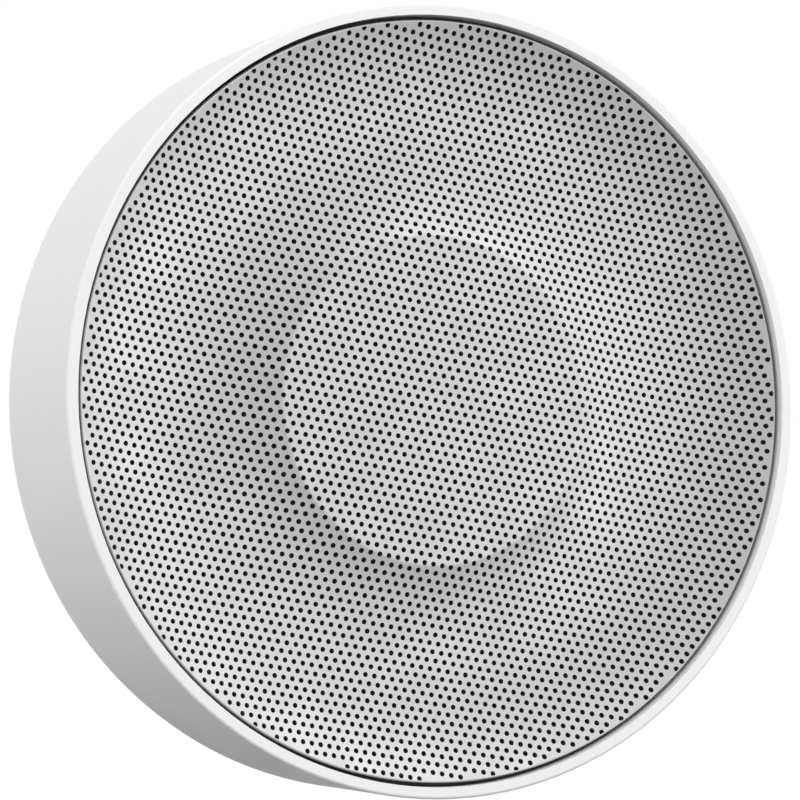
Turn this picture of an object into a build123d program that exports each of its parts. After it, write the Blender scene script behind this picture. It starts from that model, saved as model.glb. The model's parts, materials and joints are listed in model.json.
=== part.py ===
from build123d import *
from math import cos, radians, sin, sqrt, tan
import os

# Round wall-mounted smart speaker, made as its separate pieces. Sizes are in millimetres.
# Pieces are drawn as seen from the front: x to the right, y up the wall and z out of the
# wall, with z = 0 on the wall. They are stood up when they are written, so that the wall
# is the plane Y = 0, the front looks along -Y and +Z is up.

# Housing: a round case with a rounded rear edge and a narrow front lip
housing_radius = 50.0
housing_rear = 1.0
housing_front = 30.4
housing_wall = 2.0
rear_round = 7.6
side_draft = 1.4
lip_round = 0.4
seat_radius = 48.5
seat_floor = 25.6
inner_radius = housing_radius - housing_wall
wall_top = housing_front - lip_round
round_top = housing_rear + rear_round
round_inset = (wall_top - round_top) * tan(radians(side_draft)) + rear_round / cos(radians(side_draft))
round_centre = housing_radius - round_inset
recess_radius = 40.0
rear_opening = 35.0
flange_low = 2.6
flange_high = 4.2
seal_ledge_low = 18.4
seal_ledge_high = 19.4
seal_ledge_inner = 45.6

# Grille: flat plateau, ring-shaped trough on one arc, rim with a folded skirt
grille_radius = 47.95
sheet_thickness = 0.6
trough_radius = 32.3
trough_top = 26.2
dish_arc = 37.0
crease_radius = 20.8
rim_roll = 0.2
skirt_low = 26.2
cloth_gap = 0.1
cloth_thickness = 0.3
cloth_radius = 47.1
trim_clearance = 0.03
trim_high = 29.1
dish_centre = trough_top + dish_arc
plateau_top = dish_centre - sqrt(dish_arc**2 - (trough_radius - crease_radius) ** 2)

# Front baffle, which carries the driver and the grille
baffle_low = 20.2
baffle_high = 22.2
baffle_hole = 23.6
baffle_radius = 47.3
baffle_ring_inner = 46.4
baffle_ring_high = 27.4
baffle_flange_radius = 48.4
baffle_boss_circle = 42.3
baffle_boss_radius = 2.9
seal_outer = 47.25
quarter_angles = (45, 135, 225, 315)

# Rear cover with the cup that takes the wall plate
cover_radius = 39.6
cover_low = 1.0
cover_high = 2.6
cup_inner = 32.4
cup_outer = 33.8
cup_floor = 5.0
cup_top = 6.6
rear_screw_circle = 37.0
rear_boss_radius = 2.5
rear_screw_seat = 2.0
rear_boss_top = 8.4
pad_circle = 36.6
pad_radius = 2.2
pad_low = 0.2
pad_high = 1.8

# Wall plate and bayonet. Lugs sit under the ledges when locked, and in the notches
# after the release twist
plate_radius = 29.2
plate_high = 4.4
plate_screw_spacing = 40.0
plate_hole_radius = 2.2
counterbore_radius = 4.4
counterbore_floor = 2.0
pocket_inner = 8.0
pocket_outer = 25.5
pocket_depth = 2.0
pocket_starts = (30, 100, 210, 280)
pocket_span = 50
lug_angles = (90, 210, 330)
lug_outer = 31.9
lug_low = 2.7
lug_high = 4.3
lug_half_angle = 12
release_twist = 30
notch_half_angle = 15
bayonet_ledge_inner = 29.6
bayonet_ledge_high = 2.4
bayonet_ledge_span = 120 - 2 * notch_half_angle
stop_gap_angle = 1.5
stop_span = 4

# Driver
yoke_low = 7.4
yoke_high = 9.6
magnet_high = 13.6
top_plate_high = 15.8
motor_radius = 15.4
magnet_inner = 8.4
pole_radius = 6.2
gap_outer = 7.6
former_inner = 6.45
former_outer = 6.6
former_low = 11.2
former_high = 19.6
coil_outer = 7.2
coil_low = 12.2
coil_high = 17.2
glue_line = 0.02
basket_throat = 9.0
basket_neck = 16.2
basket_floor = 16.6
basket_shoulder = 17.2
basket_wall_foot = 18.1
basket_wall_top = 22.8
basket_wall_turn = 22.0
spider_ledge = 17.6
spider_ledge_inner = 13.4
basket_wall_radius = 23.3
flange_back = 22.6
flange_front = 23.8
flange_inner = 22.4
flange_outer = 27.5
window_span = 55
window_low = 17.85
window_high = 21.6
gasket_inner = 23.7
driver_screw_circle = 25.6
cone_rim_low = 23.4
cone_rim_inner = 17.4
cone_rim_outer = 18.8
cone_neck_low = 18.6
cone_neck_high = 19.1
cap_radius = 9.0
cap_rim = 20.2
cap_top = 22.6
cap_thickness = 0.3
roll_centre = 20.65
roll_inner = 1.75
roll_thickness = 0.4
surround_outer = 23.6
spider_inner = former_outer + glue_line
spider_outer = 15.2
spider_thickness = 0.3
spider_wave_start = 8.0
spider_wave_pitch = 0.9
spider_wave_count = 6
spider_wave_height = 0.35
terminal_x = 2.5
terminal_y = 16.5
terminal_size = (2.0, 0.6, 4.0)
driver_lead_y = 20.5
driver_lead_radius = 0.5
driver_lead_bend = 1.5

# Main board and what it carries
board_inner = 18.5
board_outer = 39.0
board_start = 15
board_span = 150
board_low = 9.4
board_high = 10.6
post_circle = 30.0
post_radius = 2.2
post_angles = (30, 90, 150)
shield_centre = (-14.0, 25.5)
shield_size = (14.0, 12.0, 2.4)
shield_wall = 0.3
wireless_centre = (14.0, 25.0)
wireless_size = (12.0, 10.0, 2.0)
amplifier_centre = (24.5, 21.0)
amplifier_size = (6.0, 6.0, 1.0)
capacitor_centres = ((31.0, 11.0), (-31.0, 11.0))
capacitor_radius = 2.5
capacitor_height = 6.0
inductor_centres = ((-27.0, 21.0), (5.5, 34.0))
inductor_size = (5.0, 5.0, 3.0)
inductor_round = 0.8
connector_x = 22.3
connector_y = 9.5
connector_size = (6.0, 4.0, 3.0)
lead_height = board_high + connector_size[2] / 2
connector_face = connector_y - connector_size[1] / 2

# Battery and charging socket
battery_x = 22.0
battery_low_y = -38.0
battery_high_y = -21.0
battery_low = 7.4
battery_high = 16.4
battery_round = 1.5
tray_gap = 0.1
tray_wall = 0.8
tray_high = 10.4
battery_lead_radius = 0.6
battery_lead_xs = (17.0, 18.8)
battery_lead_shift = 4.4
battery_lead_ys = (-17.0, -9.0)
battery_lead_bend = 3.0
usb_board_x = 9.5
usb_board_low_y = -46.7
usb_board_high_y = -38.9
usb_board_low = 13.2
usb_board_high = 14.4
usb_post_x = 7.0
usb_post_y = -43.0
usb_post_radius = 1.9
usb_mouth_y = -49.2
usb_length = 7.3
usb_width = 8.94
usb_height = 3.16
usb_shell = 0.3
usb_depth = 6.2
usb_tongue = (6.7, 5.2, 0.7)
usb_opening_gap = 0.28
usb_centre = usb_board_high + usb_height / 2
usb_lead_radius = 0.8
usb_lead_start = (-8.0, -40.4)
usb_lead_side_x = -24.6
usb_lead_side_ys = (-32.0, -10.0)
usb_lead_high = 18.0
usb_lead_drop_y = -2.0
usb_lead_bends = (1.5, 6.0, 5.0, 3.0)

# Microphones, on the front of the baffle
microphone_x = 37.0
microphone_board_size = (8.0, 6.0, 0.8)
microphone_size = (3.5, 2.65, 1.0)
microphone_seal_radii = (1.0, 2.4)
microphone_seal_high = 25.1

# Side keys, drawn at the top edge and turned to the right-hand edge
key_turn = -90
key_pitch = 13.0
key_centre = 14.6
key_length = 11.0
key_width = 5.0
key_clearance = 0.3
key_face_radius = 50.3
key_edge_round = 0.3
key_mark_length = 2.4
key_mark_width = 0.5
key_mark_depth = 0.25
key_flange_inner = 46.5
key_flange_outer = 47.7
key_flange_margin = 0.6
key_stem_half = 1.5
key_stem_foot = 42.2
key_board_y = (38.4, 39.6)
key_board_half = 21.0
key_board_z = (11.0, 18.0)
key_switch_size = (6.0, 1.6, 5.0)
plunger_radius = 1.0
plunger_hole = 1.3
plunger_foot = 40.3
plunger_hole_floor = 39.7
rail_x = (19.5, 23.2)
rail_y = (36.8, 44.5)
rail_z = (10.9, 18.3)
rail_slot_gap = 0.05
rail_bite = 0.1
ribbon_y = (13.0, 17.0)
ribbon_x = 34.2
ribbon_z = 13.4
ribbon_thickness = 0.25

# Reset button, in the rear cover
reset_circle = 36.4
reset_angle = 112.5
reset_radius = 1.3
reset_hole = 1.6
reset_low = 1.2
reset_flange = (2.9, 3.5)
reset_flange_radius = 2.2
reset_pass_hole = 2.6
reset_foot = 6.6
reset_plunger_radius = 0.7
reset_plunger_hole = 1.0
reset_plunger_top = 8.6
reset_switch_low = 7.4
reset_switch_hole_top = 9.3
reset_switch_half = 1.7

# Screws: head radius, head height, shank radius, shank length
baffle_screw = (2.4, 1.2, 1.2, 9.0)
rear_screw = (2.0, 0.8, 0.95, 5.6)
driver_screw = (1.8, 0.8, 0.9, 4.8)
board_screw = (1.9, 1.1, 0.9, 3.8)
usb_screw = (1.7, 1.0, 0.75, 5.0)
pilot_gap = 0.05
hole_gap = 0.25
recess_depth_share = 0.6
recess_width_share = 0.26
recess_length_share = 1.1
overcut = 1.0


def polar(radius, angle):
    """The x and y of a point on a circle about the speaker's axis."""
    return radius * cos(radians(angle)), radius * sin(radians(angle))


def arc_point(centre, radius, angle):
    """The r and z of a point on a circle in the section plane."""
    return centre[0] + radius * cos(radians(angle)), centre[1] + radius * sin(radians(angle))


def turned(*corners):
    """A solid turned about the axis from a section given as (r, z) corners.

    A corner of four values (r, z through, r, z end) is reached by an arc.
    """
    edges = []
    here = corners[0]
    for corner in corners[1:] + corners[:1]:
        there = corner[-2:]
        ends = [Vector(here[0], 0, here[1]), Vector(there[0], 0, there[1])]
        if len(corner) == 4:
            edges.append(ThreePointArc(ends[0], Vector(corner[0], 0, corner[1]), ends[1]))
        else:
            edges.append(Line(ends[0], ends[1]))
        here = there
    return revolve(make_face(edges), Axis.Z)


def ring(inner, outer, low, high):
    """A flat ring about the axis."""
    return extrude(Pos(0, 0, low) * (Circle(outer) - Circle(inner)), high - low)


def sector(inner, outer, low, high, start, span):
    """Part of a flat ring, from a start angle over a span."""
    section = Plane.XZ * Pos((inner + outer) / 2, (low + high) / 2) * Rectangle(outer - inner, high - low)
    return Rot(0, 0, start) * revolve(section, Axis.Z, span)


def rod(place, radius, low, high):
    """A round rod along z."""
    return extrude(Pos(place[0], place[1], low) * Circle(radius), high - low)


def cross_rod(x, z, radius, low, high):
    """A round rod along y."""
    face = Plane((x, low, z), x_dir=(1, 0, 0), z_dir=(0, 1, 0)) * Circle(radius)
    return extrude(face, high - low)


def cross_capsule(x, z, length, width, low, high):
    """A bar along y with a capsule section, long in x."""
    face = Plane((x, low, z), x_dir=(1, 0, 0), z_dir=(0, 1, 0)) * SlotOverall(length, width)
    return extrude(face, high - low)


def block(xs, ys, zs):
    """A box between pairs of limits."""
    size = [limits[1] - limits[0] for limits in (xs, ys, zs)]
    middle = [(limits[1] + limits[0]) / 2 for limits in (xs, ys, zs)]
    return Pos(*middle) * Box(*size)


def standing(centre, size, low):
    """A box of a size that stands on the level low, about a centre in x and y."""
    return Pos(centre[0], centre[1], low + size[2] / 2) * Box(*size)


def group(solids):
    """Separate solids that share one node."""
    return Compound([part.solids()[0] for part in solids])


def screw(place, seat, sizes, facing=1):
    """A cross-recessed screw whose head rests on the level seat and faces +z or -z."""
    head_radius, head_height, shank_radius, shank_length = sizes
    levels = sorted((seat, seat + facing * head_height))
    body = rod(place, head_radius, *levels)
    body = body + rod(place, shank_radius, *sorted((seat, seat - facing * shank_length)))
    top = seat + facing * head_height
    depth = head_height * recess_depth_share
    long_side = head_radius * recess_length_share
    short_side = head_radius * recess_width_share
    for sides in ((long_side, short_side), (short_side, long_side)):
        body = body - Pos(place[0], place[1], top) * Box(sides[0], sides[1], depth * 2)
    return body


def tube(points, radii, tube_radius):
    """A round lead along straight runs with arcs at the corners."""
    path = FilletPolyline(*points, radius=radii)
    return sweep(Plane(path @ 0, z_dir=path % 0) * Circle(tube_radius), path=path)


def to_keys(shape):
    """Turns a shape drawn at the top edge to the right-hand edge."""
    return Rot(0, 0, key_turn) * shape


key_places = {"volume_up": -key_pitch, "mute": 0.0, "volume_down": key_pitch}
reset_place = polar(reset_circle, reset_angle)
baffle_boss_places = [polar(baffle_boss_circle, angle) for angle in quarter_angles]
rear_screw_places = [polar(rear_screw_circle, angle) for angle in quarter_angles]
driver_screw_places = [polar(driver_screw_circle, angle) for angle in quarter_angles]
post_places = [polar(post_circle, angle) for angle in post_angles]
usb_post_places = [(side * usb_post_x, usb_post_y) for side in (-1, 1)]
usb_gaps = (usb_width + 2 * usb_opening_gap, usb_height + 2 * usb_opening_gap)
pieces = {}


# Housing
def make_housing():
    outer_centre = (round_centre, round_top)
    inner_round = inner_radius - round_centre
    flange_drop = round_top - flange_high
    flange_edge = round_centre + sqrt(inner_round**2 - flange_drop**2)
    lip_centre = (housing_radius - lip_round, wall_top)
    shell = turned(
        (rear_opening, flange_low),
        (recess_radius, flange_low),
        (recess_radius, housing_rear),
        (round_centre, housing_rear),
        arc_point(outer_centre, rear_round, -45) + arc_point(outer_centre, rear_round, -side_draft),
        (housing_radius, wall_top),
        arc_point(lip_centre, lip_round, 45) + (lip_centre[0], housing_front),
        (seat_radius, housing_front),
        (seat_radius, seat_floor),
        (inner_radius, seat_floor),
        (inner_radius, seal_ledge_high),
        (seal_ledge_inner, seal_ledge_high),
        (seal_ledge_inner, seal_ledge_low),
        (inner_radius, seal_ledge_low),
        (inner_radius, round_top),
        arc_point(outer_centre, inner_round, -30) + (flange_edge, flange_high),
        (rear_opening, flange_high),
    )
    pilot = baffle_screw[2] + pilot_gap
    for place in baffle_boss_places:
        shell = shell + rod(place, baffle_boss_radius, flange_high - pilot_gap, baffle_low)
        shell = shell - rod(place, pilot, flange_high + housing_wall, baffle_low + overcut)
    pilot = rear_screw[2] + pilot_gap
    for place in rear_screw_places:
        shell = shell + rod(place, rear_boss_radius, flange_high - pilot_gap, rear_boss_top)
        shell = shell - rod(place, pilot, flange_low - overcut, rear_boss_top - pilot_gap)
    pilot = usb_screw[2] + pilot_gap
    for place in usb_post_places:
        shell = shell + rod(place, usb_post_radius, flange_low, usb_board_low)
        shell = shell - rod(place, pilot, flange_high + housing_wall, usb_board_low + overcut)
    mouth = cross_capsule(0, usb_centre, *usb_gaps, -housing_radius - overcut, -seal_ledge_inner)
    shell = shell - mouth
    shell = shell - rod(reset_place, reset_pass_hole, flange_low - overcut, flange_high + overcut)
    slot_y = (key_board_y[0] - rail_slot_gap, key_board_y[1] + rail_slot_gap)
    slot_x = key_board_half + rail_slot_gap
    for side in (-1, 1):
        rail = block(sorted((side * rail_x[0], side * rail_x[1])), rail_y, rail_z)
        rail = rail & rod((0, 0), inner_radius + rail_bite, *rail_z)
        rail = rail - block((-slot_x, slot_x), slot_y, (rail_z[0], key_board_z[1] + rail_slot_gap))
        shell = shell + to_keys(rail)
    key_gaps = (key_length + 2 * key_clearance, key_width + 2 * key_clearance)
    for x in key_places.values():
        opening = cross_capsule(x, key_centre, *key_gaps, key_stem_foot, key_face_radius + overcut)
        shell = shell - to_keys(opening)
    return shell


pieces["housing"] = make_housing()


# Rear cover, wall pads and wall plate
def make_rear_cover():
    cover = turned(
        (cup_inner, cover_low),
        (cover_radius, cover_low),
        (cover_radius, cover_high),
        (cup_outer, cover_high),
        (cup_outer, cup_top),
        (0, cup_top),
        (0, cup_floor),
        (cup_inner, cup_floor),
    )
    for lug in lug_angles:
        start = lug + release_twist + notch_half_angle
        ledge = sector(bayonet_ledge_inner, cup_inner + overcut / 2, cover_low, bayonet_ledge_high,
                       start, bayonet_ledge_span)
        stop_start = lug - lug_half_angle - stop_gap_angle - stop_span
        stop = sector(bayonet_ledge_inner, cup_inner + overcut / 2, bayonet_ledge_high, cup_floor,
                      stop_start, stop_span)
        cover = cover + ledge + stop
    for place in post_places:
        cover = cover + rod(place, post_radius, cup_top, board_low)
        cover = cover - rod(place, board_screw[2] + pilot_gap, cup_top, board_low + overcut)
    for place in rear_screw_places:
        cover = cover - rod(place, rear_screw[0] + hole_gap, cover_low - overcut, rear_screw_seat)
        cover = cover - rod(place, rear_screw[2] + hole_gap, cover_low, cover_high + overcut)
    for angle in range(0, 360, 90):
        cover = cover - rod(polar(pad_circle, angle), pad_radius + pilot_gap, cover_low - overcut, pad_high)
    return cover - rod(reset_place, reset_hole, cover_low - overcut, cover_high + overcut)


def make_wall_plate():
    plate = rod((0, 0), plate_radius, 0, plate_high)
    for lug in lug_angles:
        plate = plate + sector(plate_radius - overcut, lug_outer, lug_low, lug_high,
                               lug - lug_half_angle, 2 * lug_half_angle)
    for start in pocket_starts:
        plate = plate - sector(pocket_inner, pocket_outer, -overcut, pocket_depth, start, pocket_span)
    for side in (-1, 1):
        place = (side * plate_screw_spacing / 2, 0)
        plate = plate - rod(place, plate_hole_radius, -overcut, plate_high)
        plate = plate - rod(place, counterbore_radius, counterbore_floor, plate_high + overcut)
    return plate


pieces["rear_cover"] = make_rear_cover()
pieces["rear_cover_screws"] = group(
    screw(place, rear_screw_seat, rear_screw, -1) for place in rear_screw_places
)
pieces["wall_pads"] = group(
    rod(polar(pad_circle, angle), pad_radius, pad_low, pad_high) for angle in range(0, 360, 90)
)
pieces["wall_plate"] = make_wall_plate()


# Front: baffle, grille, cloth, trim and seal
def dish_z(r, drop):
    """The level of the dished sheet at a radius, at a depth below its top face."""
    return dish_centre - sqrt((dish_arc + drop) ** 2 - (r - trough_radius) ** 2)


def crease_r(drop):
    """Where the dish meets the plateau, at a depth below the top face."""
    rise = dish_centre - (plateau_top - drop)
    return trough_radius - sqrt((dish_arc + drop) ** 2 - rise**2)


def make_grille():
    roll_r = grille_radius - rim_roll
    roll_z = dish_centre - sqrt((dish_arc + rim_roll) ** 2 - (roll_r - trough_radius) ** 2)
    toward = (trough_radius - roll_r, dish_centre - roll_z)
    reach = rim_roll / (dish_arc + rim_roll)
    roll_end = (roll_r + toward[0] * reach, roll_z + toward[1] * reach)
    bisector = Vector(1 + toward[0] / (dish_arc + rim_roll), toward[1] / (dish_arc + rim_roll)).normalized()
    roll_middle = (roll_r + rim_roll * bisector.X, roll_z + rim_roll * bisector.Y)
    skirt_inner = grille_radius - sheet_thickness
    return turned(
        (0, plateau_top - sheet_thickness),
        (crease_r(sheet_thickness), plateau_top - sheet_thickness),
        (trough_radius, trough_top - sheet_thickness, skirt_inner, dish_z(skirt_inner, sheet_thickness)),
        (skirt_inner, skirt_low),
        (grille_radius, skirt_low),
        (grille_radius, roll_z),
        roll_middle + roll_end,
        (trough_radius, trough_top, crease_radius, plateau_top),
        (0, plateau_top),
    )


def make_grille_cloth():
    top = sheet_thickness + cloth_gap
    bottom = top + cloth_thickness
    return turned(
        (0, plateau_top - bottom),
        (crease_r(bottom), plateau_top - bottom),
        (trough_radius, trough_top - bottom, cloth_radius, dish_z(cloth_radius, bottom)),
        (cloth_radius, dish_z(cloth_radius, top)),
        (trough_radius, trough_top - top, crease_r(top), plateau_top - top),
        (0, plateau_top - top),
    )


def make_baffle():
    baffle = turned(
        (baffle_hole, baffle_low),
        (baffle_radius, baffle_low),
        (baffle_radius, seat_floor),
        (baffle_flange_radius, seat_floor),
        (baffle_flange_radius, skirt_low),
        (baffle_radius, skirt_low),
        (baffle_radius, baffle_ring_high),
        (baffle_ring_inner, baffle_ring_high),
        (baffle_ring_inner, baffle_high),
        (baffle_hole, baffle_high),
    )
    for place in baffle_boss_places:
        baffle = baffle - rod(place, baffle_screw[2] + hole_gap, baffle_low - overcut, baffle_high + overcut)
    for place in driver_screw_places:
        baffle = baffle - rod(place, driver_screw[2] + pilot_gap, baffle_low - overcut, baffle_high + overcut)
    return baffle


pieces["front_baffle"] = make_baffle()
pieces["baffle_screws"] = group(screw(place, baffle_high, baffle_screw) for place in baffle_boss_places)
pieces["baffle_seal"] = ring(seal_ledge_inner, seal_outer, seal_ledge_high, baffle_low)
pieces["grille"] = make_grille()
pieces["grille_cloth"] = make_grille_cloth()
pieces["grille_trim"] = ring(grille_radius + trim_clearance, seat_radius - trim_clearance, skirt_low, trim_high)


# Driver
def make_basket():
    basket = turned(
        (basket_throat, top_plate_high),
        (basket_neck, top_plate_high),
        (basket_neck, basket_shoulder),
        (basket_wall_radius, basket_wall_turn),
        (basket_wall_radius, flange_back),
        (flange_outer, flange_back),
        (flange_outer, flange_front),
        (flange_inner, flange_front),
        (flange_inner, basket_wall_top),
        (motor_radius, basket_wall_foot),
        (motor_radius, spider_ledge),
        (spider_ledge_inner, spider_ledge),
        (spider_ledge_inner, basket_floor),
        (basket_throat, basket_floor),
    )
    for angle in quarter_angles:
        basket = basket - sector(motor_radius, basket_wall_radius, window_low, window_high,
                                 angle - window_span / 2, window_span)
    bracket_x = terminal_x + terminal_size[0]
    bracket_y = terminal_y + terminal_size[1]
    basket = basket + block((-bracket_x, bracket_x), (motor_radius, bracket_y), (top_plate_high, basket_floor))
    for place in driver_screw_places:
        basket = basket - rod(place, driver_screw[2] + hole_gap, flange_back - overcut, flange_front + overcut)
    return basket


def make_gasket():
    gasket = ring(gasket_inner, flange_outer, baffle_high, flange_back)
    for place in driver_screw_places:
        gasket = gasket - rod(place, driver_screw[2] + hole_gap, baffle_high - overcut, flange_back + overcut)
    return gasket


def make_cone():
    return turned(
        (former_outer + glue_line, cone_neck_low),
        (cone_rim_inner, cone_rim_low),
        (cone_rim_outer, cone_rim_low),
        (cone_rim_outer, flange_front),
        (cone_rim_inner, flange_front),
        (former_outer + glue_line, cone_neck_high),
    )


def make_dust_cap():
    rise = cap_top - cap_rim
    sphere = (cap_radius**2 + rise**2) / (2 * rise)
    centre = cap_top - sphere
    half = cap_radius / 2
    inner_sphere = sphere - cap_thickness
    inner_rim = sqrt(inner_sphere**2 - (cap_rim - centre) ** 2)
    return turned(
        (0, cap_top - cap_thickness),
        (inner_rim / 2, centre + sqrt(inner_sphere**2 - (inner_rim / 2) ** 2), inner_rim, cap_rim),
        (cap_radius, cap_rim),
        (half, centre + sqrt(sphere**2 - half**2), 0, cap_top),
    )


def make_surround():
    outer_roll = roll_inner + roll_thickness
    foot = sqrt(outer_roll**2 - roll_thickness**2)
    land_top = flange_front + roll_thickness
    return turned(
        (cone_rim_inner, flange_front),
        (roll_centre - roll_inner, flange_front),
        (roll_centre, flange_front + roll_inner, roll_centre + roll_inner, flange_front),
        (surround_outer, flange_front),
        (surround_outer, land_top),
        (roll_centre + foot, land_top),
        (roll_centre, flange_front + outer_roll, roll_centre - foot, land_top),
        (cone_rim_inner, land_top),
    )


def make_spider():
    lower = []
    upper = []
    for wave in range(spider_wave_count):
        swing = spider_wave_height if wave % 2 else -spider_wave_height
        start = spider_wave_start + wave * spider_wave_pitch
        middle = start + spider_wave_pitch / 2
        end = start + spider_wave_pitch
        lower.append((middle, spider_ledge + swing, end, spider_ledge))
        upper.append((middle, spider_ledge + spider_thickness + swing, start, spider_ledge + spider_thickness))
    wave_end = (spider_wave_start + spider_wave_count * spider_wave_pitch, spider_ledge + spider_thickness)
    return turned(
        (spider_inner, spider_ledge),
        (spider_wave_start, spider_ledge),
        *lower,
        (spider_outer, spider_ledge),
        (spider_outer, spider_ledge + spider_thickness),
        wave_end,
        *reversed(upper),
        (spider_inner, spider_ledge + spider_thickness),
    )


terminal_low = top_plate_high - terminal_size[2]
terminal_middle = top_plate_high - terminal_size[2] / 2
back_plate = rod((0, 0), motor_radius, yoke_low, yoke_high)
pieces["driver_yoke"] = back_plate + rod((0, 0), pole_radius, yoke_high, top_plate_high)
pieces["driver_magnet"] = ring(magnet_inner, motor_radius, yoke_high, magnet_high)
pieces["driver_top_plate"] = ring(gap_outer, motor_radius, magnet_high, top_plate_high)
pieces["driver_basket"] = make_basket()
pieces["driver_gasket"] = make_gasket()
pieces["driver_screws"] = group(screw(place, flange_front, driver_screw) for place in driver_screw_places)
pieces["driver_terminals"] = group(
    standing((side * terminal_x, terminal_y), terminal_size, terminal_low) for side in (-1, 1)
)
pieces["driver_leads"] = group(
    tube(
        [
            (side * terminal_x, terminal_y + terminal_size[1] / 2, terminal_middle),
            (side * terminal_x, driver_lead_y, terminal_middle),
            (side * terminal_x, driver_lead_y, board_high),
        ],
        driver_lead_bend,
        driver_lead_radius,
    )
    for side in (-1, 1)
)
pieces["driver_surround"] = make_surround()
pieces["driver_spider"] = make_spider()
pieces["cone"] = make_cone()
pieces["dust_cap"] = make_dust_cap()
pieces["voice_coil_former"] = ring(former_inner, former_outer, former_low, former_high)
pieces["voice_coil"] = ring(former_outer + glue_line, coil_outer, coil_low, coil_high)


# Main board and what stands on it
def make_main_board():
    board = sector(board_inner, board_outer, board_low, board_high, board_start, board_span)
    for place in post_places:
        board = board - rod(place, board_screw[2] + hole_gap, board_low - overcut, board_high + overcut)
    return board


def make_shield():
    can = standing(shield_centre, shield_size, board_high)
    hollow = [size - 2 * shield_wall for size in shield_size]
    return can - standing(shield_centre, hollow, board_high - shield_wall)


def make_inductor(place):
    body = standing(place, inductor_size, board_high)
    return fillet(body.edges().filter_by(Axis.Z), inductor_round)


pieces["main_board"] = make_main_board()
pieces["board_screws"] = group(screw(place, board_high, board_screw) for place in post_places)
pieces["processor_shield"] = make_shield()
pieces["wireless_module"] = standing(wireless_centre, wireless_size, board_high)
pieces["amplifier_chip"] = standing(amplifier_centre, amplifier_size, board_high)
pieces["capacitors"] = group(
    rod(place, capacitor_radius, board_high, board_high + capacitor_height) for place in capacitor_centres
)
pieces["inductors"] = group(make_inductor(place) for place in inductor_centres)
pieces["board_connectors"] = group(
    standing((side * connector_x, connector_y), connector_size, board_high) for side in (-1, 1)
)


# Battery, its tray and its leads
def make_tray():
    floor_edge = tray_gap + tray_wall
    outer = block(
        (-battery_x - floor_edge, battery_x + floor_edge),
        (battery_low_y - floor_edge, battery_high_y + floor_edge),
        (cup_top, tray_high),
    )
    inner = block(
        (-battery_x - tray_gap, battery_x + tray_gap),
        (battery_low_y - tray_gap, battery_high_y + tray_gap),
        (battery_low, tray_high + overcut),
    )
    return outer - inner


def make_battery():
    cell = block((-battery_x, battery_x), (battery_low_y, battery_high_y), (battery_low, battery_high))
    return fillet(cell.edges(), battery_round)


def make_battery_lead(x):
    points = [
        (x, battery_high_y, lead_height),
        (x, battery_lead_ys[0], lead_height),
        (x + battery_lead_shift, battery_lead_ys[1], lead_height),
        (x + battery_lead_shift, connector_face, lead_height),
    ]
    return tube(points, battery_lead_bend, battery_lead_radius)


pieces["battery_tray"] = make_tray()
pieces["battery_pack"] = make_battery()
pieces["battery_leads"] = group(make_battery_lead(x) for x in battery_lead_xs)


# Charging socket in the bottom edge, on its own board
def make_usb_board():
    board = block(
        (-usb_board_x, usb_board_x), (usb_board_low_y, usb_board_high_y), (usb_board_low, usb_board_high)
    )
    for place in usb_post_places:
        board = board - rod(place, usb_screw[2] + hole_gap, usb_board_low - overcut, usb_board_high + overcut)
    return board


def make_usb_socket():
    cavity_sides = (usb_width - 2 * usb_shell, usb_height - 2 * usb_shell)
    cavity_floor = usb_mouth_y + usb_depth
    shell = cross_capsule(0, usb_centre, usb_width, usb_height, usb_mouth_y, usb_mouth_y + usb_length)
    shell = shell - cross_capsule(0, usb_centre, *cavity_sides, usb_mouth_y - overcut, cavity_floor)
    return shell + Pos(0, cavity_floor - usb_tongue[1] / 2, usb_centre) * Box(*usb_tongue)


def make_usb_lead():
    points = [
        usb_lead_start + (usb_board_high,),
        usb_lead_start + (usb_lead_high,),
        (usb_lead_side_x, usb_lead_side_ys[0], usb_lead_high),
        (usb_lead_side_x, usb_lead_side_ys[1], usb_lead_high),
        (-connector_x, usb_lead_drop_y, lead_height),
        (-connector_x, connector_face, lead_height),
    ]
    return tube(points, usb_lead_bends, usb_lead_radius)


pieces["usb_board"] = make_usb_board()
pieces["usb_socket"] = make_usb_socket()
pieces["usb_board_screws"] = group(screw(place, usb_board_high, usb_screw) for place in usb_post_places)
pieces["usb_lead"] = make_usb_lead()


# Microphones
microphone_places = [(side * microphone_x, 0) for side in (-1, 1)]
microphone_low = baffle_high + microphone_board_size[2]
microphone_high = microphone_low + microphone_size[2]


def make_microphone_seal(place):
    return rod(place, microphone_seal_radii[1], microphone_high, microphone_seal_high) - rod(
        place, microphone_seal_radii[0], microphone_high - overcut, microphone_seal_high + overcut
    )


pieces["microphone_boards"] = group(
    standing(place, microphone_board_size, baffle_high) for place in microphone_places
)
pieces["microphones"] = group(standing(place, microphone_size, microphone_low) for place in microphone_places)
pieces["microphone_seals"] = group(make_microphone_seal(place) for place in microphone_places)


# Side keys with their board, switches and ribbon
def key_marks(name, x):
    """Grooves in a key's face: a plus, a minus, or a round dimple."""
    low = key_face_radius - key_mark_depth - (key_face_radius - sqrt(key_face_radius**2 - x**2))
    bar = (key_mark_length / 2, key_mark_width / 2)
    level = (low, key_face_radius + overcut)
    across = block((x - bar[0], x + bar[0]), level, (key_centre - bar[1], key_centre + bar[1]))
    along = block((x - bar[1], x + bar[1]), level, (key_centre - bar[0], key_centre + bar[0]))
    if name == "volume_up":
        return across + along
    if name == "volume_down":
        return along
    return cross_rod(x, key_centre, key_mark_length / 2, *level)


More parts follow.
